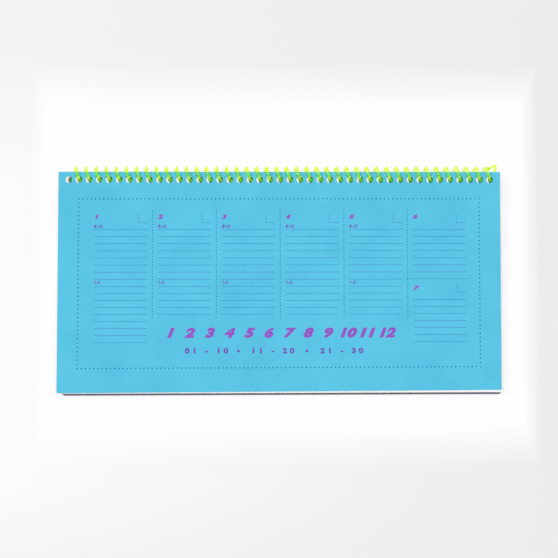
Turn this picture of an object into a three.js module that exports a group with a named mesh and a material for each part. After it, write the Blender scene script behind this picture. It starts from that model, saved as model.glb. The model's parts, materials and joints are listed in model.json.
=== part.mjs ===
// Undated weekly desk pad, bound along its top edge by one plastic coil.
// Millimetres, +Z up. The pad lies on its back with its cover up and the coil at +Y.
// The origin is the middle of the footprint, at the height of the desk.

import * as THREE from "three";

// Punching: one row of round holes along the bound edge.
const holeCount = 43;
const emptyHoleCount = 1; // on the left, where the coil stops short
const holePitch = 6.35;
const sideMargin = 6.35; // page side to the centre of the nearest hole
const pageDepth = 139.7;

// Leaves, from the desk up.
const boardThickness = 1.0;
const sheetThickness = 0.1;
const sheetCount = 30;
const looseSheetCount = 10; // the first sheets under the cover, each a leaf by itself
const stackedSheetCount = 10; // sheets in each closed stack below them
const coverThickness = 0.35;
const coverSlip = 0.9; // the cover hangs this much to the left of the sheets
const leafAir = 0.03; // between neighbouring leaves

// Coil: one wire, wound through the holes.
const wireDiameter = 1.6;
const edgePastAxis = 1.13; // the bound edge reaches this far past the coil's axis
const coilPlay = 0.4; // between the pad's edge and the inside of the coil
const holePlay = 0.2; // left round the wire in a hole, where it leans most
const hangLeft = 0.2; // the pad hangs a little to the left on the wire
const hangDown = 0.15; // and a little away from its bound edge
const crimpRadius = 2.2; // bend of the cut end on the right
const leastCoilGap = 0.4; // wanted between any two stretches of the wire

// Turns and leans, in degrees.
const backTurn = 180; // the last turn on the right goes this far past its hole before the bend
const stopTurn = 280; // past its last hole on the left the wire ends under the pad
const crimpLean = 8; // the bent end leans this much over the top

// Faces.
const coilSteps = 8; // to a turn
const wireSides = 5;
const crimpSteps = 5;
const boardHoleSides = 8;
const sheetHoleSides = 5;
const measureSteps = 9; // points measured along each step of the wire

const DEGREE = Math.PI / 180;
const TURN = 2 * Math.PI;

const coverCard = new THREE.MeshStandardMaterial({ color: 0x5bc5e6, roughness: 0.75, metalness: 0 });
const paper = new THREE.MeshStandardMaterial({ color: 0xf8f7f3, roughness: 0.9, metalness: 0 });
const greyBoard = new THREE.MeshStandardMaterial({ color: 0x9c9a96, roughness: 0.95, metalness: 0 });
const neonPlastic = new THREE.MeshStandardMaterial({ color: 0xd9f52e, roughness: 0.3, metalness: 0 });

// The leaves from the back board up, each with its thickness.
function listLeaves() {
  const board = { name: "back_board", thickness: boardThickness, sides: boardHoleSides, material: greyBoard };
  const cover = { name: "front_cover", thickness: coverThickness, sides: boardHoleSides, material: coverCard };
  const sheet = { thickness: sheetThickness, sides: sheetHoleSides, material: paper };
  const sheets = [];
  let last = sheetCount;
  while (last > looseSheetCount) {
    const first = Math.max(last - stackedSheetCount, looseSheetCount) + 1;
    const thickness = (last - first + 1) * sheetThickness;
    sheets.push({ ...sheet, name: `sheets_${first}_to_${last}`, thickness });
    last = first - 1;
  }
  for (; last > 0; last -= 1) sheets.push({ ...sheet, name: `sheet_${String(last).padStart(2, "0")}` });
  return [board, ...sheets, { ...cover, slip: coverSlip }];
}

const leaves = listLeaves();
const leafSum = leaves.reduce((sum, leaf) => sum + leaf.thickness, 0);
const padThickness = leafSum + (leaves.length - 1) * leafAir;
const halfPad = padThickness / 2;
const pageWidth = (holeCount - 1) * holePitch + 2 * sideMargin;

// The coil goes round the pad's bound edge with a little play, also at the middle of its flat steps.
// Its axis runs along X through the origin of the pad's own frame, half way up the pad.
const wireRadius = wireDiameter / 2;
const edgeRadius = Math.hypot(halfPad, edgePastAxis);
const coilRadius = (edgeRadius + coilPlay + wireRadius) / Math.cos(Math.PI / coilSteps);
const coilOuterRadius = coilRadius + wireRadius;

// In the holes the wire leans along the coil and curves across it, and the holes leave room for both.
const wireLean = Math.asin(halfPad / coilRadius);
const leanAlong = (holePitch * wireLean) / TURN;
const roundRise = coilRadius - coilRadius * Math.cos(wireLean);
const flatRise = halfPad * Math.tan(Math.PI / coilSteps); // where the wire's step is flat
const leanAcross = Math.max(roundRise, flatRise) / 2;
const holeRow = -coilRadius + leanAcross - hangDown;
const wireReach = Math.hypot(leanAlong + hangLeft, leanAcross + hangDown);
const holeRadius = wireRadius / Math.cos(wireLean) + wireReach + holePlay;

// A hole's place along the row, counted from the left.
function holePlace(index) {
  return (index - (holeCount - 1) / 2) * holePitch;
}

// A hole's outline, with its flats outside the round hole.
function holeOutline(x, y, sides) {
  const corner = holeRadius / Math.cos(Math.PI / sides);
  const points = [];
  for (let i = 0; i < sides; i += 1) {
    const angle = ((i + 0.5) / sides) * TURN;
    points.push(new THREE.Vector2(x + corner * Math.cos(angle), y + corner * Math.sin(angle)));
  }
  return new THREE.Path(points);
}

// One flat leaf with its row of holes.
function makeLeaf({ name, thickness, sides, material, slip = 0 }) {
  const left = -pageWidth / 2 - slip;
  const right = pageWidth / 2 - slip;
  const outline = new THREE.Shape([
    new THREE.Vector2(left, edgePastAxis - pageDepth),
    new THREE.Vector2(right, edgePastAxis - pageDepth),
    new THREE.Vector2(right, edgePastAxis),
    new THREE.Vector2(left, edgePastAxis),
  ]);
  for (let i = 0; i < holeCount; i += 1) outline.holes.push(holeOutline(holePlace(i) - slip, holeRow, sides));
  const solid = new THREE.ExtrudeGeometry(outline, { depth: thickness, bevelEnabled: false });
  const mesh = new THREE.Mesh(solid, material);
  mesh.name = name;
  return mesh;
}

// The wire lies on a drum of the coil's radius. A place on it is given by its run along the axis and
// its turn, which is 0 on the side of the pad and a quarter turn on top.
function onDrum(along, turn) {
  return new THREE.Vector3(along, -coilRadius * Math.cos(turn), coilRadius * Math.sin(turn));
}

// The wire's place at a turn counted from its last hole on the right. It runs left as it goes round.
function wireAt(turn) {
  return onDrum(holePlace(holeCount - 1) + hangLeft - (holePitch * turn) / TURN, turn);
}

// The even turns, from behind the pad on the right to a straight end under it on the left.
function windingPath() {
  const start = -backTurn * DEGREE;
  const stop = (holeCount - 1 - emptyHoleCount) * TURN + stopTurn * DEGREE;
  const step = TURN / coilSteps;
  const path = [];
  for (let i = 0; start + i * step < stop; i += 1) path.push(wireAt(start + i * step));
  const end = wireAt(stop);
  const heading = end.clone().sub(wireAt(stop - step / measureSteps));
  return [...path, end, end.clone().add(heading.setLength(wireDiameter))];
}

// The bent end on the right, from its tip. On the drum it turns from the winding's heading to one
// that runs back along the coil, and ends straight.
function crimpPath() {
  const heading = Math.atan2(coilRadius * TURN, holePitch);
  const bend = Math.PI - crimpLean * DEGREE - heading;
  const chord = 2 * crimpRadius * Math.sin(bend / crimpSteps / 2);
  const runs = [];
  for (let i = 0; i < crimpSteps; i += 1)
    runs.push({ length: chord, angle: heading + (bend * (i + 0.5)) / crimpSteps });
  runs.push({ length: wireDiameter, angle: heading + bend });
  const start = -backTurn * DEGREE;
  let along = wireAt(start).x;
  let climb = 0;
  const path = [];
  for (const { length, angle } of runs) {
    along += length * Math.cos(angle);
    climb += length * Math.sin(angle);
    path.unshift(onDrum(along, start - climb / coilRadius));
  }
  return path;
}

// The least gap of the wire to itself, measured on points along its centre line, each against those
// between half a turn and two turns further on.
function leastGap(path) {
  const points = [];
  for (let i = 1; i < path.length; i += 1)
    for (let j = 0; j < measureSteps; j += 1)
      points.push(path[i - 1].clone().lerp(path[i], j / measureSteps));
  const halfTurn = (coilSteps / 2) * measureSteps;
  let least = Infinity;
  points.forEach((point, i) => {
    for (const other of points.slice(i + halfTurn, i + 4 * halfTurn))
      least = Math.min(least, point.distanceTo(other));
  });
  return least - wireDiameter;
}

// A closed tube along a path, with one corner of each ring pointing away from the coil's axis.
function makeCoil(path) {
  const places = [];
  const faces = [];
  path.forEach((point, i) => {
    const ahead = path[Math.min(i + 1, path.length - 1)];
    const behind = path[Math.max(i - 1, 0)];
    const along = ahead.clone().sub(behind).normalize();
    const outward = new THREE.Vector3(0, point.y, point.z);
    outward.addScaledVector(along, -outward.dot(along)).normalize();
    const across = along.clone().cross(outward);
    for (let k = 0; k < wireSides; k += 1) {
      const angle = (k / wireSides) * TURN;
      const corner = point.clone().addScaledVector(outward, wireRadius * Math.cos(angle));
      corner.addScaledVector(across, wireRadius * Math.sin(angle));
      places.push(corner.x, corner.y, corner.z);
    }
  });
  for (let i = 1; i < path.length; i += 1)
    for (let k = 0; k < wireSides; k += 1) {
      const next = (k + 1) % wireSides;
      const here = (i - 1) * wireSides;
      const there = i * wireSides;
      faces.push(here + k, here + next, there + next, here + k, there + next, there + k);
    }
  const end = (path.length - 1) * wireSides;
  for (let k = 1; k < wireSides - 1; k += 1) faces.push(0, k + 1, k, end, end + k, end + k + 1);
  const tube = new THREE.BufferGeometry();
  tube.setAttribute("position", new THREE.Float32BufferAttribute(places, 3));
  tube.setIndex(faces);
  tube.computeVertexNormals();
  const mesh = new THREE.Mesh(tube, neonPlastic);
  mesh.name = "binding_coil";
  return mesh;
}

// The pad is tipped about the coil's axis until its free edge and the coil both touch the desk.
const freeReach = pageDepth - edgePastAxis;
const tip = Math.asin(coilOuterRadius / Math.hypot(freeReach, halfPad)) - Math.atan2(halfPad, freeReach);
const pad = new THREE.Group();
pad.rotation.x = tip;

let height = -halfPad;
for (const leaf of leaves) {
  const mesh = makeLeaf(leaf);
  mesh.position.z = height;
  pad.add(mesh);
  height += leaf.thickness + leafAir;
}

const wirePath = [...crimpPath(), ...windingPath()];
pad.add(makeCoil(wirePath));
const gap = leastGap(wirePath).toFixed(2);
console.log(`The wire keeps ${gap} mm from itself, and should keep over ${leastCoilGap} mm.`);

// The middle of the footprint becomes the origin.
pad.updateMatrixWorld(true);
const box = new THREE.Box3().setFromObject(pad, true);
const middle = box.getCenter(new THREE.Vector3());
pad.position.set(-middle.x, -middle.y, -box.min.z);

const deskPad = new THREE.Group();
deskPad.add(pad);

export default deskPad;
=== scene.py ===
"""Looks of an undated weekly desk pad: blue cover, thirty sheets and back board on a neon coil."""

import json
import math
import random

import bmesh
import bpy
from mathutils import Matrix, Vector

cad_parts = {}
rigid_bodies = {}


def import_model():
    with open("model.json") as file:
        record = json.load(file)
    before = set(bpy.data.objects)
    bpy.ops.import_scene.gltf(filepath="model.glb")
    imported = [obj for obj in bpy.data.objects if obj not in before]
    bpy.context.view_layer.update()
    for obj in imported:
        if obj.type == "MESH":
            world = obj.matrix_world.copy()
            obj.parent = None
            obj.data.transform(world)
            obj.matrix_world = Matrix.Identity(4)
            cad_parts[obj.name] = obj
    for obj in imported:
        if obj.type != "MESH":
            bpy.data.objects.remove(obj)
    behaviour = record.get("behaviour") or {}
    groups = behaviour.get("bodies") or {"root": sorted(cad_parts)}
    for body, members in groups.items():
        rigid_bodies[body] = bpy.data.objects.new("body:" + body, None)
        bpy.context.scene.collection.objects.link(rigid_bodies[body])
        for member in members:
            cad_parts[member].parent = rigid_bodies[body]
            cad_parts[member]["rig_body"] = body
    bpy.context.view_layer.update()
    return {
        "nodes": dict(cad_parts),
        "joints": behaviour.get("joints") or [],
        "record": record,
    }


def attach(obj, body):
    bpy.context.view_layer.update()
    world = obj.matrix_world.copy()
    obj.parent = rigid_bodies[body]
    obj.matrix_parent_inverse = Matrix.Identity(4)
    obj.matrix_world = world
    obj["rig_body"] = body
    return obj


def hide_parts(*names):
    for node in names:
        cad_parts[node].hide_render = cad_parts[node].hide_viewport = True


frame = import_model()
scene = bpy.context.scene

MM = 0.001

# The pad as it was cut and punched, in millimetres. The places come from the CAD nodes.
HOLE_COUNT = 43
HOLE_PITCH = 6.35
HOLE_RADIUS = 2.2
HOLE_SIDES = 20
EDGE_PAST_AXIS = 1.13  # the bound edge, past the coil's axis
HINGE_PAST_EDGE = 0.15
HOLE_ROW = -3.8  # from the coil's axis
WIRE = 1.6
WIRE_SIDES = 12
SHEET_COUNT = 30
SHEET = 0.09
SHEET_STEP = 0.1  # from sheet to sheet in a closed stack

# How the leaves lie in the photograph. A pair of numbers is for the left and the right end.
COVER_SHORT = (0.1, 1.55)  # its free edge stops short of its node's
COVER_NARROW = (0.13, -0.55)  # its bound edge is cut back at its ends, or reaches out
COVER_FLARE = (0.55, -0.3)  # its free edge reaches this much further out than its bound edge
COVER_HOLES = ((0.25, 0), (0.25, 0))  # its first and last hole are off, to the right and up
SHEETS_RIGHT = (0.6, 1.2)  # the first and the last sheet lie this far to the right
SHEET_STRAY = 0.08  # and each is off by up to this much
SHEET_SKEW = 0.35  # the sheets' free edge reaches this much further on the left
SHEET_HOLES = ((0, -0.2), (0, -0.45))
BOARD_PROUD = (1.55, 1.25)  # its free edge shows past the sheets
BOARD_NARROW = (1.6, 0.2)
BOARD_CORNER = 2.0
SHEET_CORNER = 0.3
CORNER_STEPS = 8
WELD = 0.001  # points nearer than this become one

INK = 0.02  # how thick the ink is
INK_SUNK = 0.005  # of that, how much lies in the paper

# Camera, from the cover's four corners in the photograph, which is 558 pixels wide.
CAMERA_PLACE = (-22.0, -70.1, 950.4)
CAMERA_TURN = (4.241, -1.271, -0.158)
FOCAL_SHARE = 1500 / 558  # of the picture's width

# The bright middle of the floor, on which the pad lies, is a painted pool of light, and round that
# its tone changes as painted dimming.
FLOOR_REACH = 4000
LIT_POOL_MIDDLE = (3.0, 9.0)
LIT_POOL_HALF = (156.5, 114)
LIT_POOL_FADE = (6, 15)  # each edge of the middle fades over this much to either side
PAINTED_DIMMING_SIDES = (-170, 170)  # painted dimming: it darkens from left to right
PAINTED_DIMMING_BACK = (60, 150)  # and to the back
PAINTED_DIMMING_FRONT = (-130, -190)  # and to the front
PAINTED_DIMMING_CORNER_SHARE = 0.55
PAINTED_SHADE_UNDER_PAD = ((140.5, 139.5), (68.5, 67.5))  # half of the floor under the pad, with its soft edge, that gets painted shade
PAINTED_GREEN_FROM = (50, 60)  # painted green light, for the light through the coil, falls behind this
GLOW = 0.82
GLOW_LOST_TO_PAINTED_SHADE = 0.58  # under the pad, as painted shade

# The pad's own frame has the coil's axis along X and the leaves flat.
flat_face = Vector(frame["record"]["mounts"][0]["axis"])
tip = math.atan2(flat_face.y, -flat_face.z)
tipped = Matrix.Rotation(tip, 4, "X")
hinge = Vector(frame["joints"][0]["pos_m"])
coil_axis = hinge - tipped @ Vector((0, (EDGE_PAST_AXIS + HINGE_PAST_EDGE) * MM, 0))
PAD = Matrix.Translation(coil_axis) @ tipped @ Matrix.Scale(MM, 4)


def pad_box(node):
    """Lowest and highest corner of a CAD node in the pad's own frame, in millimetres."""
    corners = [PAD.inverted() @ v.co for v in frame["nodes"][node].data.vertices]
    low = Vector(min(c[i] for c in corners) for i in range(3))
    high = Vector(max(c[i] for c in corners) for i in range(3))
    return low, high


class Term:
    """An output in a node tree, or the tree alone. Operators on it add Math nodes."""

    def __init__(self, tree, socket=None):
        self.tree = tree
        self.socket = socket

    def node(self, kind, inputs=None, out=0, **settings):
        """Adds any other node: its settings first, then the values or links of its sockets."""
        node = self.tree.nodes.new(kind)
        for name, value in settings.items():
            setattr(node, name, value)
        for key, value in (inputs or {}).items():
            for item in value if isinstance(value, list) else [value]:
                if isinstance(item, Term):
                    self.tree.links.new(item.socket, node.inputs[key])
                else:
                    node.inputs[key].default_value = item
        return Term(self.tree, node.outputs[out]) if len(node.outputs) else None

    def other(self, out):
        """Another output of the same node."""
        return Term(self.tree, self.socket.node.outputs[out])

    def math(self, operation, *values):
        return self.node("ShaderNodeMath", dict(enumerate(values)), operation=operation)

    def __add__(self, other):
        return self.math("ADD", self, other)

    def __sub__(self, other):
        return self.math("SUBTRACT", self, other)

    def __mul__(self, other):
        return self.math("MULTIPLY", self, other)

    def __truediv__(self, other):
        return self.math("DIVIDE", self, other)

    def __radd__(self, other):
        return self.math("ADD", other, self)

    def __rsub__(self, other):
        return self.math("SUBTRACT", other, self)

    def __rmul__(self, other):
        return self.math("MULTIPLY", other, self)

    def __rtruediv__(self, other):
        return self.math("DIVIDE", other, self)

    def most(self, other):
        return self.math("MAXIMUM", self, other)

    def absolute(self):
        return self.math("ABSOLUTE", self)

    def sin(self):
        return self.math("SINE", self)

    def cos(self):
        return self.math("COSINE", self)


def vector(x, y, z):
    """Three numbers or terms as one vector term."""
    tree = next(t for t in (x, y, z) if isinstance(t, Term))
    return tree.node("ShaderNodeCombineXYZ", {0: x, 1: y, 2: z})


def geometry_tree(name, kinds):
    """An empty Geometry Nodes tree with named inputs, and their terms."""
    tree = bpy.data.node_groups.new(name, "GeometryNodeTree")
    tree.interface.new_socket(name="Geometry", in_out="OUTPUT", socket_type="NodeSocketGeometry")
    for label, kind in kinds.items():
        tree.interface.new_socket(name=label, in_out="INPUT", socket_type="NodeSocket" + kind)
    source = tree.nodes.new("NodeGroupInput")
    return Term(tree), {label: Term(tree, source.outputs[label]) for label in kinds}


def end_tree(tree, shape, material, smooth=False):
    """Realizes, shades and paints what a tree made, and gives it to the tree's output."""
    real = tree.node("GeometryNodeRealizeInstances", {"Geometry": shape})
    shaded = tree.node("GeometryNodeSetShadeSmooth", {"Geometry": real, "Shade Smooth": smooth})
    painted = tree.node("GeometryNodeSetMaterial", {"Geometry": shaded, "Material": material})
    tree.node("NodeGroupOutput", {"Geometry": painted})
    return tree.tree


def grow(name, tree, values, mesh=None):
    """Runs a tree on a mesh and keeps what it makes as a plain mesh, placed on the pad."""
    piece = bpy.data.objects.new(name, mesh or bpy.data.meshes.new(name))
    scene.collection.objects.link(piece)
    modifier = piece.modifiers.new("shape", "NODES")
    modifier.node_group = tree
    for socket in tree.interface.items_tree:
        if socket.in_out == "INPUT" and socket.name in values:
            modifier[socket.identifier] = values[socket.name]
    made = piece.evaluated_get(bpy.context.evaluated_depsgraph_get())
    made = bpy.data.meshes.new_from_object(made)
    piece.modifiers.remove(modifier)
    made.transform(PAD)
    made.name = name
    piece.data = made
    return piece


def colour(red, green, blue):
    """A colour as written on a screen, 0 to 255, for a socket."""
    shares = [c / 255 for c in (red, green, blue)]
    linear = [c / 12.92 if c <= 0.04045 else ((c + 0.055) / 1.055) ** 2.4 for c in shares]
    return (*linear, 1)


def material(name):
    """An empty material, its tree, and a function that ends the tree in a Principled shader."""
    made = bpy.data.materials.new(name)
    made.use_nodes = True
    made.node_tree.nodes.clear()
    tree = Term(made.node_tree)

    def surface(**sockets):
        inputs = {key.replace("_", " "): value for key, value in sockets.items()}
        shader = tree.node("ShaderNodeBsdfPrincipled", inputs)
        tree.node("ShaderNodeOutputMaterial", {"Surface": shader})

    return made, tree, surface


def noise(tree, place, scale, detail=2.0, rough=0.5):
    """Noise from 0 to 1, with about scale blotches to a metre."""
    sockets = {"Vector": place, "Scale": scale, "Detail": detail, "Roughness": rough}
    return tree.node("ShaderNodeTexNoise", sockets)


def mix(tree, share, first, second):
    """One colour fading to another."""
    return tree.node("ShaderNodeMix", {0: share, 6: first, 7: second}, out=2, data_type="RGBA")


def spread(tree, value, low, high):
    """A value stretched so that low becomes 0 and high becomes 1."""
    sockets = {"Value": value, "From Min": low, "From Max": high}
    return tree.node("ShaderNodeMapRange", sockets)


def bump(tree, height, strength, distance):
    sockets = {"Height": height, "Strength": strength, "Distance": distance}
    return tree.node("ShaderNodeBump", sockets)


def stretched(tree, place, x, y, z):
    """The place with its axes scaled, for fibres that run one way."""
    sockets = {"Vector": place, "Scale": (x, y, z)}
    return tree.node("ShaderNodeMapping", sockets)


def coordinates(tree):
    return tree.node("ShaderNodeTexCoord", out=3)


def card_material():
    """Dyed card with a soft felt grain and a faint cloudiness."""
    made, tree, surface = material("blue card")
    place = coordinates(tree)
    cloud = spread(tree, noise(tree, place, 45, 3.0), 0.35, 0.65)
    felt = spread(tree, noise(tree, place, 900, 3.0, 0.6), 0.3, 0.7)
    fibre = noise(tree, stretched(tree, place, 600, 2600, 600), 1.0, 2.0)
    tone = mix(tree, cloud * 0.55 + felt * 0.45, colour(74, 190, 224), colour(86, 202, 234))
    surface(
        Base_Color=tone,
        Roughness=0.62 + 0.12 * fibre,
        Normal=bump(tree, felt * 0.6 + fibre * 0.4, 0.25, 0.00004),
    )
    return made


def paper_material():
    """Uncoated white writing paper."""
    made, tree, surface = material("white paper")
    place = coordinates(tree)
    cloud = spread(tree, noise(tree, place, 120, 3.0), 0.35, 0.65)
    fibre = noise(tree, stretched(tree, place, 700, 3000, 700), 1.0, 3.0)
    tone = mix(tree, cloud, colour(247, 246, 243), colour(252, 251, 249))
    surface(
        Base_Color=tone,
        Roughness=0.8 + 0.12 * fibre,
        Normal=bump(tree, fibre, 0.2, 0.00003),
    )
    return made


def board_material():
    """Grey board pressed from waste paper, with light and dark fibres."""
    made, tree, surface = material("grey board")
    place = coordinates(tree)
    cloud = spread(tree, noise(tree, place, 60, 3.0), 0.35, 0.65)
    long = noise(tree, stretched(tree, place, 500, 2400, 2400), 1.0, 3.0)
    dark = spread(tree, noise(tree, stretched(tree, place, 2600, 700, 2600), 1.0, 2.0), 0.62, 0.72)
    light = spread(tree, noise(tree, place, 1500, 2.0), 0.64, 0.74)
    tone = mix(tree, cloud * 0.5 + long * 0.5, colour(106, 109, 127), colour(128, 131, 147))
    tone = mix(tree, dark * 0.6, tone, colour(70, 72, 80))
    tone = mix(tree, light * 0.5, tone, colour(172, 172, 176))
    surface(
        Base_Color=tone,
        Roughness=0.86 + 0.1 * long,
        Normal=bump(tree, long, 0.5, 0.00006),
    )
    return made


def coil_material():
    """Clear plastic in a fluorescent yellow-green, faintly streaked along its surface, with a
    painted green glow of its own.
    """
    made, tree, surface = material("neon coil")
    place = coordinates(tree)
    streak = noise(tree, place, 700, 2.0)
    surface(
        Base_Color=mix(tree, streak, colour(240, 251, 34), colour(246, 255, 66)),
        Roughness=0.12 + 0.08 * streak,
        Transmission_Weight=0.93,
        IOR=1.5,
        # painted glow: the plastic gives off faint green light of its own, standing in for its
        # fluorescence
        Emission_Color=colour(116, 255, 88),
        Emission_Strength=0.11,
        Normal=bump(tree, streak, 0.1, 0.00003),
    )
    return made


def ink_material(name, full, thin):
    """Ink that lets a little of the grain under it through."""
    made, tree, surface = material(name)
    place = coordinates(tree)
    worn = spread(tree, noise(tree, place, 1400, 3.0, 0.6), 0.3, 0.75)
    surface(
        Base_Color=mix(tree, worn, full, thin),
        Roughness=0.55 + 0.15 * worn,
        Specular_IOR_Level=0.2,
    )
    return made


blue_card = card_material()
white_paper = paper_material()
grey_board = board_material()
neon_plastic = coil_material()
purple_ink = ink_material("purple ink", colour(154, 70, 194), colour(140, 98, 204))
violet_ink = ink_material("violet ink", colour(116, 72, 178), colour(112, 100, 196))
navy_ink = ink_material("navy ink", colour(8, 98, 154), colour(32, 134, 190))
line_ink = ink_material("line ink", colour(64, 138, 198), colour(80, 166, 216))
pale_ink = ink_material("pale ink", colour(150, 190, 210), colour(176, 208, 222))
slate_ink = ink_material("slate ink", colour(96, 124, 150), colour(130, 156, 178))


def leaf_tree():
    """A flat leaf with rounded corners and a row of round holes, thickened upwards."""
    corners = ["Back left", "Back right", "Front right", "Front left"]
    tree, size = geometry_tree(
        "punched leaf",
        {
            **{corner: "Vector" for corner in corners},
            "Corner radius": "Float",
            "First hole": "Vector",
            "Hole step": "Vector",
            "Hole count": "Int",
            "Hole radius": "Float",
            "Hole sides": "Int",
            "Bottom": "Float",
            "Thickness": "Float",
            "Material": "Material",
        },
    )
    points = {f"Point {i + 1}": size[corner] for i, corner in enumerate(corners)}
    square = tree.node("GeometryNodeCurvePrimitiveQuadrilateral", points, mode="POINTS")
    outline = tree.node(
        "GeometryNodeFilletCurve",
        {"Curve": square, "Count": CORNER_STEPS, "Radius": size["Corner radius"]},
        mode="POLY",
    )
    row = tree.node(
        "GeometryNodeMeshLine",
        {
            "Count": size["Hole count"],
            "Start Location": size["First hole"],
            "Offset": size["Hole step"],
        },
        mode="OFFSET",
    )
    hole = {"Resolution": size["Hole sides"], "Radius": size["Hole radius"]}
    ring = tree.node("GeometryNodeCurvePrimitiveCircle", hole, mode="RADIUS")
    punched = tree.node("GeometryNodeInstanceOnPoints", {"Points": row, "Instance": ring})
    punched = tree.node("GeometryNodeRealizeInstances", {"Geometry": punched})
    edges = tree.node("GeometryNodeJoinGeometry", {"Geometry": [outline, punched]})
    under = tree.node("GeometryNodeFillCurve", {"Curve": edges}, mode="TRIANGLES")
    raised = {"Mesh": under, "Offset Scale": size["Thickness"], "Individual": False}
    top = tree.node("GeometryNodeExtrudeMesh", raised, mode="FACES")
    bottom = tree.node("GeometryNodeFlipFaces", {"Mesh": under})
    closed = tree.node("GeometryNodeJoinGeometry", {"Geometry": [top, bottom]})
    closed = tree.node("GeometryNodeMergeByDistance", {"Geometry": closed, "Distance": WELD})
    lift = {"Geometry": closed, "Offset": vector(0, 0, size["Bottom"])}
    return end_tree(tree, tree.node("GeometryNodeSetPosition", lift), size["Material"])


punched_leaf = leaf_tree()


def make_leaf(
    name,
    node,
    finish,
    bottom,
    thickness,
    short=(0, 0),
    narrow=(0, 0),
    flare=(0, 0),
    corner=SHEET_CORNER,
    stray=0,
    holes=((0, 0), (0, 0)),
):
    """A leaf in the place of a CAD node. It may stop short of the node's left and right corners."""
    low, high = pad_box(node)
    middle = (low.x + high.x) / 2 + stray
    left = low.x + narrow[0] + stray
    right = high.x - narrow[1] + stray
    reach = (HOLE_COUNT - 1) / 2 * HOLE_PITCH
    first = Vector((middle - reach + holes[0][0], HOLE_ROW + holes[0][1], 0))
    last = Vector((middle + reach + holes[1][0], HOLE_ROW + holes[1][1], 0))
    piece = grow(
        name,
        punched_leaf,
        {
            "Back left": (left, high.y, 0),
            "Back right": (right, high.y, 0),
            "Front right": (right + flare[1], low.y + short[1], 0),
            "Front left": (left - flare[0], low.y + short[0], 0),
            "Corner radius": float(corner),
            "First hole": first,
            "Hole step": (last - first) / (HOLE_COUNT - 1),
            "Hole count": HOLE_COUNT,
            "Hole radius": HOLE_RADIUS,
            "Hole sides": HOLE_SIDES,
            "Bottom": bottom,
            "Thickness": float(thickness),
            "Material": finish,
        },
    )
    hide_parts(node)
    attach(piece, frame["nodes"][node]["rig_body"])
    return piece


low, high = pad_box("back_board")
board = make_leaf(
    "back_board_looks",
    "back_board",
    grey_board,
    low.z,
    high.z - low.z,
    short=[-proud for proud in BOARD_PROUD],
    narrow=BOARD_NARROW,
    corner=BOARD_CORNER,
)


def sheet_home(number):
    """The CAD node that holds a sheet, and how many sheets lie on it there."""
    for node in frame["nodes"]:
        numbers = [int(word) for word in node.split("_") if word.isdigit()]
        if numbers and numbers[0] <= number <= numbers[-1]:
            return node, number - numbers[0]
    return None


chance = random.Random(30)
sheet_tops = {}
for number in range(1, SHEET_COUNT + 1):
    node, above = sheet_home(number)
    top = pad_box(node)[1].z - above * SHEET_STEP - (SHEET_STEP - SHEET) / 2
    aside = SHEETS_RIGHT[0] + (SHEETS_RIGHT[1] - SHEETS_RIGHT[0]) * (number - 1) / (SHEET_COUNT - 1)
    sheet_tops[number] = top
    sheet = make_leaf(
        f"sheet_{number:02d}_looks",
        node,
        white_paper,
        top - SHEET,
        SHEET,
        short=(chance.uniform(0, SHEET_STRAY) - SHEET_SKEW, chance.uniform(0, SHEET_STRAY)),
        stray=aside + chance.uniform(-SHEET_STRAY, SHEET_STRAY),
        holes=SHEET_HOLES,
    )

low, high = pad_box("front_cover")
cover_left, cover_top = low.x, high.z
cover = make_leaf(
    "front_cover_looks",
    "front_cover",
    blue_card,
    low.z,
    high.z - low.z,
    short=COVER_SHORT,
    narrow=COVER_NARROW,
    flare=COVER_FLARE,
    holes=COVER_HOLES,
)


# The coil's ends and loops. Turns are in degrees past its last hole on that side.
TAIL_TURN = 222  # to the cut end on the right, which is bent back over the coil
TAIL_SWING = (  # a turn, and how far the tail has swung to the right there
    (0, 0),
    (40, 0.5),
    (75, 1.7),
    (105, 2.6),
    (137, 3.2),
    (164, 3.4),
    (178, 2.9),
    (190, 1.9),
    (208, -0.1),
    (222, -1.2),
)
TAIL_RISE = ((0, 0), (150, 0), (178, 0.8), (190, 0.9), (208, 0.1), (222, 0))  # off the drum
STOP_TURN = 332  # to the cut end on the left, inside the empty hole
HANG = 0.36  # the coil hangs this much to the right in the holes
LEAN = 0.55  # its loops lean to the left over the pad
SLANT = 0.08  # and to the right past its edge
ROUND = 0.1  # and they are rounder there than an even spiral
WOBBLE = 0.12
COIL_STEPS = 48  # to a turn
SHARP_EDGE = 50  # degrees


def drawn_curve(tree, value, knots, reach):
    """A value read off a smooth curve through knots, each a place from 0 to reach and a height."""
    heights = [height for _, height in knots]
    low, high = min(heights), max(heights)
    node = tree.node("ShaderNodeFloatCurve", {"Value": value / reach})
    curve = node.socket.node.mapping.curves[0]
    for place, height in knots[1:-1]:
        curve.points.new(place / reach, (height - low) / (high - low))
    curve.points[0].location = (0, (heights[0] - low) / (high - low))
    curve.points[-1].location = (1, (heights[-1] - low) / (high - low))
    node.socket.node.mapping.update()
    return node * (high - low) + low


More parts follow.
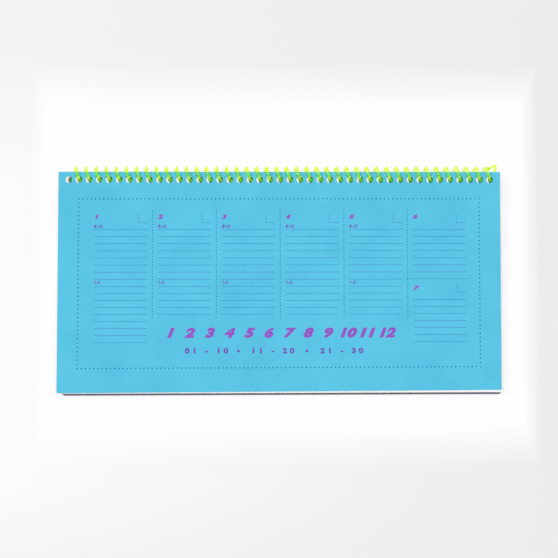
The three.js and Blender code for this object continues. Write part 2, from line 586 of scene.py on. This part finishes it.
def coil_tree():
    """A wire wound on a drum, from its bent tail on the right to its cut end on the left."""
    tree, size = geometry_tree(
        "wound wire",
        {
            "Drum radius": "Float",
            "Pitch": "Float",
            "Last hole": "Float",
            "Start turn": "Float",
            "Step": "Float",
            "Points": "Int",
            "Lean": "Float",
            "Slant": "Float",
            "Roundness": "Float",
            "Wobble": "Float",
            "Wire radius": "Float",
            "Wire sides": "Int",
            "Material": "Material",
        },
    )
    line = tree.node("GeometryNodeMeshLine", {"Count": size["Points"]}, mode="OFFSET")
    path = tree.node("GeometryNodeMeshToCurve", {"Mesh": line})
    index = tree.node("GeometryNodeInputIndex")
    turn = size["Start turn"] + index * size["Step"]
    wound = turn.most(0)
    tail = (0 - turn).most(0) * (180 / math.pi)
    swing = drawn_curve(tree, tail, TAIL_SWING, TAIL_TURN)
    rise = drawn_curve(tree, tail, TAIL_RISE, TAIL_TURN)
    stray = tree.node("ShaderNodeTexNoise", {"Vector": vector(turn * 0.4, 0, 0), "Scale": 1.0})
    x = size["Last hole"] - size["Pitch"] * wound / math.tau + swing
    x = x + (stray - 0.5) * size["Wobble"] - size["Lean"] * turn.sin() - size["Slant"] * turn.cos()
    x = x - size["Roundness"] * (turn * 2).sin() * (1 - turn.cos())
    drum = size["Drum radius"] + rise
    y = 0 - drum * turn.cos()
    z = drum * turn.sin()
    path = tree.node("GeometryNodeSetPosition", {"Geometry": path, "Position": vector(x, y, z)})
    round_wire = {"Resolution": size["Wire sides"], "Radius": size["Wire radius"]}
    ring = tree.node("GeometryNodeCurvePrimitiveCircle", round_wire, mode="RADIUS")
    sweep = {"Curve": path, "Profile Curve": ring, "Fill Caps": True}
    wire = tree.node("GeometryNodeCurveToMesh", sweep)
    return end_tree(tree, wire, size["Material"], smooth=True)


turns = HOLE_COUNT - 2 + (TAIL_TURN + STOP_TURN) / 360
coil = grow(
    "binding_coil_looks",
    coil_tree(),
    {
        "Drum radius": pad_box("binding_coil")[1].z - WIRE / 2,
        "Pitch": HOLE_PITCH,
        "Last hole": (HOLE_COUNT - 1) / 2 * HOLE_PITCH + HANG,
        "Start turn": -math.radians(TAIL_TURN),
        "Step": math.tau / COIL_STEPS,
        "Points": round(turns * COIL_STEPS) + 1,
        "Lean": LEAN,
        "Slant": SLANT,
        "Roundness": ROUND,
        "Wobble": WOBBLE,
        "Wire radius": WIRE / 2,
        "Wire sides": WIRE_SIDES,
        "Material": neon_plastic,
    },
)
coil.data.set_sharp_from_angle(angle=math.radians(SHARP_EDGE))
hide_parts("binding_coil")
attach(coil, "pad_back")


# The print. Its places are millimetres from the page's left side and down from its bound edge.
BORDER_BACK = ((13.0, 17.25), (266.4, 17.15))  # left and right corner, printed a little askew
BORDER_FRONT = ((12.4, 124.2), (266.4, 123.6))
BORDER_PITCH = 2.61
BORDER_DOT = 0.45
COLUMN_COUNT = 6
COLUMN_LEFT = 22.7
COLUMN_STEP = 40.3
COLUMN_WIDTH = 33.5
COLUMN_RULE = -3.5  # the dotted rule before a column
COLUMN_PITCH = 1.8
COLUMN_DOT = 0.34
RULE_TOP = 24.4
RULE_BOTTOM = 92.0
HALF_RULE = 67.9  # the rule half way down the last column
HALF_RULE_PAST = 2  # it runs on past the column's right side
LINE_WIDTH = 0.36
UPPER_LINE = 36.65
UPPER_STEP = 4.5
UPPER_COUNT = 8
LOWER_LINE = 72.65
LOWER_STEP = 4.42
LOWER_COUNT = 5
FIRST_LOWER_COUNT = 9  # the first column is longer
LAST_LOWER_LINE = 81.1  # and the last column holds two days
LAST_COUNT = 7
FRAME_TOP = 26.7
LAST_FRAME_TOP = 70.7
FRAME_LEFT = 27.7  # of the column
FRAME_DEPTH = 5.6
DAY_BASE = 29.9
LAST_DAY_BASE = 75.2
MORNING_BASE = 35.6
AFTERNOON_BASE = 71.2
MONTH_FIRST = 70.2
MONTH_STEP = 12.4
MONTH_BASE = 105.1
WEEK_BASE = 115
BULLET_BASE = 115.6

DAY_STYLE = {"height": 3.0, "slant": 0.3, "bold": 0.26, "wide": 1.45, "spacing": 1.1}
HOUR_STYLE = {"height": 2.2, "slant": 0.2, "bold": 0.15, "wide": 0.9, "spacing": 1.2}
MONTH_STYLE = {"height": 6.7, "slant": 0.3, "bold": 0.5, "wide": 1.3, "spacing": 1.05}
WEEK_STYLE = {"height": 3.7, "slant": 0, "bold": 0.24, "wide": 1.25, "spacing": 1.68}
BULLET_STYLE = {"height": 4.6, "slant": 0, "bold": 0.2, "wide": 1.0, "spacing": 1}
NUMERAL_SHARE = 0.73  # a plain numeral's height is this share of the font's size


def dotted_tree():
    """Round dots of ink at even steps along every line of a mesh."""
    tree, size = geometry_tree(
        "dotted lines",
        {
            "Lines": "Geometry",
            "Dot pitch": "Float",
            "Dot radius": "Float",
            "Dot sides": "Int",
            "Ink": "Float",
            "Material": "Material",
        },
    )
    lines = tree.node("GeometryNodeMeshToCurve", {"Mesh": size["Lines"]})
    steps = {"Curve": lines, "Length": size["Dot pitch"]}
    steps = tree.node("GeometryNodeCurveToPoints", steps, mode="LENGTH")
    dot = {"Vertices": size["Dot sides"], "Radius": size["Dot radius"], "Depth": size["Ink"]}
    dot = tree.node("GeometryNodeMeshCylinder", dot)
    dots = tree.node("GeometryNodeInstanceOnPoints", {"Points": steps, "Instance": dot})
    return end_tree(tree, dots, size["Material"])


def ruled_tree():
    """A thin flat bar of ink along every line of a mesh."""
    tree, size = geometry_tree(
        "ruled lines",
        {"Lines": "Geometry", "Line width": "Float", "Ink": "Float", "Material": "Material"},
    )
    lines = tree.node("GeometryNodeMeshToCurve", {"Mesh": size["Lines"]})
    lines = tree.node("GeometryNodeSetCurveNormal", {"Curve": lines}, mode="Z_UP")
    section = {"Width": size["Line width"], "Height": size["Ink"]}
    section = tree.node("GeometryNodeCurvePrimitiveQuadrilateral", section, mode="RECTANGLE")
    sweep = {"Curve": lines, "Profile Curve": section, "Fill Caps": True}
    bars = tree.node("GeometryNodeCurveToMesh", sweep)
    return end_tree(tree, bars, size["Material"])


dotted_lines = dotted_tree()
ruled_lines = ruled_tree()


def line_mesh(paths, left, top):
    """Paths on a page as loose edges, for a page whose left side is at left and its face at top."""
    mesh = bpy.data.meshes.new("lines")
    points = []
    edges = []
    for path in paths:
        first = len(points)
        points += path
        edges += [(i, i + 1) for i in range(first, len(points) - 1)]
    places = [(left + x, EDGE_PAST_AXIS - y, top) for x, y in points]
    mesh.from_pydata(places, edges, [])
    return mesh


def columns():
    return [COLUMN_LEFT + i * COLUMN_STEP for i in range(COLUMN_COUNT)]


def column_rules():
    """The dotted rules between the columns, and the one half way down the last."""
    rules = [[(x + COLUMN_RULE, RULE_TOP), (x + COLUMN_RULE, RULE_BOTTOM)] for x in columns()[1:]]
    left = columns()[-1] + COLUMN_RULE
    right = columns()[-1] + COLUMN_WIDTH + HALF_RULE_PAST
    return rules + [[(left, HALF_RULE), (right, HALF_RULE)]]


def writing_lines():
    """Ruled lines to write on, and the small frames for the date."""
    lines = []
    for i, x in enumerate(columns()):
        upper_count, lower_line, lower_count = UPPER_COUNT, LOWER_LINE, LOWER_COUNT
        frames = [FRAME_TOP]
        if i == 0:
            lower_count = FIRST_LOWER_COUNT
        if i == COLUMN_COUNT - 1:
            upper_count, lower_line, lower_count = LAST_COUNT, LAST_LOWER_LINE, LAST_COUNT
            frames.append(LAST_FRAME_TOP)
        rows = [UPPER_LINE + k * UPPER_STEP for k in range(upper_count)]
        rows += [lower_line + k * LOWER_STEP for k in range(lower_count)]
        right = x + COLUMN_WIDTH
        lines += [[(x, y), (right, y)] for y in rows]
        left = x + FRAME_LEFT
        lines += [[(left, y), (left, y + FRAME_DEPTH), (right, y + FRAME_DEPTH)] for y in frames]
    return lines


def numerals(name, items, left, top, ink):
    """Numbers of ink. An item is text, x, baseline, style and the place of x in the text.

    A style's bold is how far the ink spreads past a plain numeral on every side.
    """
    joined = bmesh.new()
    for text, x, base, style, align in items:
        curve = bpy.data.curves.new("numeral", "FONT")
        curve.body = text
        curve.size = (style["height"] - 2 * style["bold"]) / NUMERAL_SHARE
        curve.offset = style["bold"]
        curve.shear = style["slant"]
        curve.space_character = style["spacing"]
        curve.align_x = align
        curve.extrude = INK / 2
        curve.resolution_u = 4
        holder = bpy.data.objects.new("numeral", curve)
        scene.collection.objects.link(holder)
        bpy.context.view_layer.update()
        mesh = bpy.data.meshes.new_from_object(holder)
        place = (left + x, EDGE_PAST_AXIS - base + style["bold"], top + INK / 2 - INK_SUNK)
        mesh.transform(Matrix.Translation(place) @ Matrix.Diagonal((style["wide"], 1, 1, 1)))
        joined.from_mesh(mesh)
        bpy.data.objects.remove(holder)
    bmesh.ops.remove_doubles(joined, verts=joined.verts, dist=0.0001)
    bmesh.ops.recalc_face_normals(joined, faces=joined.faces)
    mesh = bpy.data.meshes.new(name)
    joined.to_mesh(mesh)
    joined.free()
    mesh.transform(PAD)
    mesh.materials.append(ink)
    piece = bpy.data.objects.new(name, mesh)
    scene.collection.objects.link(piece)
    return piece


def day_numbers():
    items = [(str(i + 1), x, DAY_BASE, DAY_STYLE, "LEFT") for i, x in enumerate(columns())]
    return items + [(str(COLUMN_COUNT + 1), columns()[-1], LAST_DAY_BASE, DAY_STYLE, "LEFT")]


def hour_numbers():
    """The hours that each half of a day's column is for."""
    items = []
    for x in columns()[:-1]:
        for text, base in (("8-12", MORNING_BASE), ("1-5", AFTERNOON_BASE)):
            items.append((text, x, base, HOUR_STYLE, "LEFT"))
    return items


def print_leaf(node, pieces):
    for piece in pieces:
        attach(piece, frame["nodes"][node]["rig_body"])


def print_week(name, node, top, line_finish, dot_finish):
    """A week's columns, writing lines and numbers on top of a leaf."""
    left = pad_box(node)[0].x
    height = top + INK / 2 - INK_SUNK
    rule = {"Line width": LINE_WIDTH, "Ink": INK, "Material": line_finish}
    dots = {
        "Dot pitch": COLUMN_PITCH,
        "Dot radius": COLUMN_DOT,
        "Dot sides": 8,
        "Ink": INK,
        "Material": dot_finish,
    }
    return [
        grow(f"{name}_writing_lines", ruled_lines, rule, line_mesh(writing_lines(), left, height)),
        grow(f"{name}_column_dots", dotted_lines, dots, line_mesh(column_rules(), left, height)),
        numerals(f"{name}_day_numbers", day_numbers(), left, top, purple_ink),
        numerals(f"{name}_hour_numbers", hour_numbers(), left, top, violet_ink),
    ]


for number, top in sheet_tops.items():
    node, above = sheet_home(number)
    if above == 0:
        week = print_week(f"sheet_{number:02d}", node, top, pale_ink, slate_ink)
        print_leaf(node, week)

border = [list(BORDER_BACK), list(BORDER_FRONT)]
for back, front in zip(BORDER_BACK, BORDER_FRONT):
    border.append([(back[0], back[1] + BORDER_PITCH), (front[0], front[1] - BORDER_PITCH)])
dots = {
    "Dot pitch": BORDER_PITCH,
    "Dot radius": BORDER_DOT,
    "Dot sides": 12,
    "Ink": INK,
    "Material": navy_ink,
}
months = []
for i in range(12):
    months.append((str(i + 1), MONTH_FIRST + i * MONTH_STEP, MONTH_BASE, MONTH_STYLE, "CENTER"))
weeks = [
    ("01 - 10", 93.6, WEEK_BASE, WEEK_STYLE, "CENTER"),
    ("\u2022", 113.7, BULLET_BASE, BULLET_STYLE, "CENTER"),
    ("11 - 20", 135.3, WEEK_BASE, WEEK_STYLE, "CENTER"),
    ("\u2022", 156.9, BULLET_BASE, BULLET_STYLE, "CENTER"),
    ("21 - 30", 178.8, WEEK_BASE, WEEK_STYLE, "CENTER"),
]
ink_height = cover_top + INK / 2 - INK_SUNK
cover_print = print_week("cover", "front_cover", cover_top, line_ink, navy_ink) + [
    grow("cover_border_dots", dotted_lines, dots, line_mesh(border, cover_left, ink_height)),
    numerals("cover_month_numbers", months, cover_left, cover_top, purple_ink),
    numerals("cover_week_numbers", weeks, cover_left, cover_top, violet_ink),
]
print_leaf("front_cover", cover_print)


def floor_spread(tree, value, ends):
    """How far a value in metres has come from the first to the second end, in millimetres."""
    return spread(tree, value, ends[0] * MM, ends[1] * MM)


def floor_tone_with_painted_light(tree, x, y):
    """The floor's colour, with a painted pool of light round the pad, painted dimming further out,
    and painted shade and painted green light under the pad; and how much of it lies under the pad.
    """
    # the middle is the painted pool of light round the pad
    middle = []
    for value, centre, half, fade in zip((x, y), LIT_POOL_MIDDLE, LIT_POOL_HALF, LIT_POOL_FADE):
        off = (value - centre * MM).absolute()
        middle.append(floor_spread(tree, off, (half - fade, half + fade)))
    # painted dimming towards the right, the back and the front, outside the painted pool of light
    dimming_sideways = floor_spread(tree, x, PAINTED_DIMMING_SIDES)
    corners = floor_spread(tree, y, PAINTED_DIMMING_BACK).most(floor_spread(tree, y, PAINTED_DIMMING_FRONT))
    painted_dimming = dimming_sideways + PAINTED_DIMMING_CORNER_SHARE * (1 - dimming_sideways) * corners
    painted_dim_tone = mix(tree, painted_dimming, colour(247, 247, 246), colour(229, 230, 227))
    tone = mix(tree, middle[0].most(middle[1]), colour(253, 251, 255), painted_dim_tone)
    # painted shade: under the pad the floor's tone turns grey and its glow is cut
    painted_shade_share = floor_spread(tree, x.absolute(), PAINTED_SHADE_UNDER_PAD[0])
    painted_shade_share = painted_shade_share * floor_spread(tree, y.absolute(), PAINTED_SHADE_UNDER_PAD[1])
    # painted green light near the coil, for the green light that comes through the plastic
    painted_green_share = floor_spread(tree, y, PAINTED_GREEN_FROM)
    shade = mix(tree, painted_green_share, colour(206, 208, 212), colour(60, 200, 120))
    return mix(tree, painted_shade_share, tone, shade), painted_shade_share


def make_floor():
    """A pale sweep, whose glow only the camera, gloss and clear plastic see.

    It is brightest round the pad, a painted pool of light. Under the pad it is dim with painted
    shade, and painted green near the coil, which lets green light through.
    """
    made, tree, _ = material("floor")
    x = tree.node("ShaderNodeSeparateXYZ", {0: coordinates(tree)})
    tone, painted_shade_share = floor_tone_with_painted_light(tree, x, x.other(1))
    seen = tree.node("ShaderNodeLightPath")
    seen = seen.most(seen.other("Is Glossy Ray").most(seen.other("Is Transmission Ray")))
    lit = tree.node("ShaderNodeBsdfDiffuse", {"Color": colour(124, 124, 124)})
    # the glow is cut under the pad as painted shade
    strength = seen * (GLOW - GLOW_LOST_TO_PAINTED_SHADE * painted_shade_share)
    glow = tree.node("ShaderNodeEmission", {"Color": tone, "Strength": strength})
    both = tree.node("ShaderNodeAddShader", {0: lit, 1: glow})
    tree.node("ShaderNodeOutputMaterial", {"Surface": both})
    mesh = bpy.data.meshes.new("floor")
    reach = FLOOR_REACH * MM
    corners = [(-reach, -reach, 0), (reach, -reach, 0), (reach, reach, 0), (-reach, reach, 0)]
    mesh.from_pydata(corners, [], [(0, 1, 2, 3)])
    mesh.materials.append(made)
    floor = bpy.data.objects.new("floor", mesh)
    scene.collection.objects.link(floor)


def make_light(name, heading, strength, softness):
    """Far daylight along a heading, as soft as a window of softness degrees."""
    light = bpy.data.lights.new(name, "SUN")
    light.energy = strength
    light.angle = math.radians(softness)
    holder = bpy.data.objects.new(name, light)
    holder.location = -Vector(heading)
    holder.rotation_euler = Vector(heading).to_track_quat("-Z", "Y").to_euler()
    scene.collection.objects.link(holder)


def make_camera():
    camera = bpy.data.cameras.new("camera")
    camera.sensor_width = 36
    camera.lens = camera.sensor_width * FOCAL_SHARE
    camera.clip_start = 0.05
    holder = bpy.data.objects.new("camera", camera)
    holder.location = Vector(CAMERA_PLACE) * MM
    holder.rotation_euler = [math.radians(a) for a in CAMERA_TURN]
    scene.collection.objects.link(holder)
    scene.camera = holder


make_floor()
make_light("window", (0.9, -0.45, -1.0), 0.95, 12)
make_light("lamp", (-0.28, -0.1, -1.0), 0.9, 6)
world = bpy.data.worlds.new("studio")
world.use_nodes = True
world.node_tree.nodes["Background"].inputs["Color"].default_value = colour(250, 250, 252)
world.node_tree.nodes["Background"].inputs["Strength"].default_value = 0.52
scene.world = world
make_camera()
scene.view_settings.view_transform = "Standard"
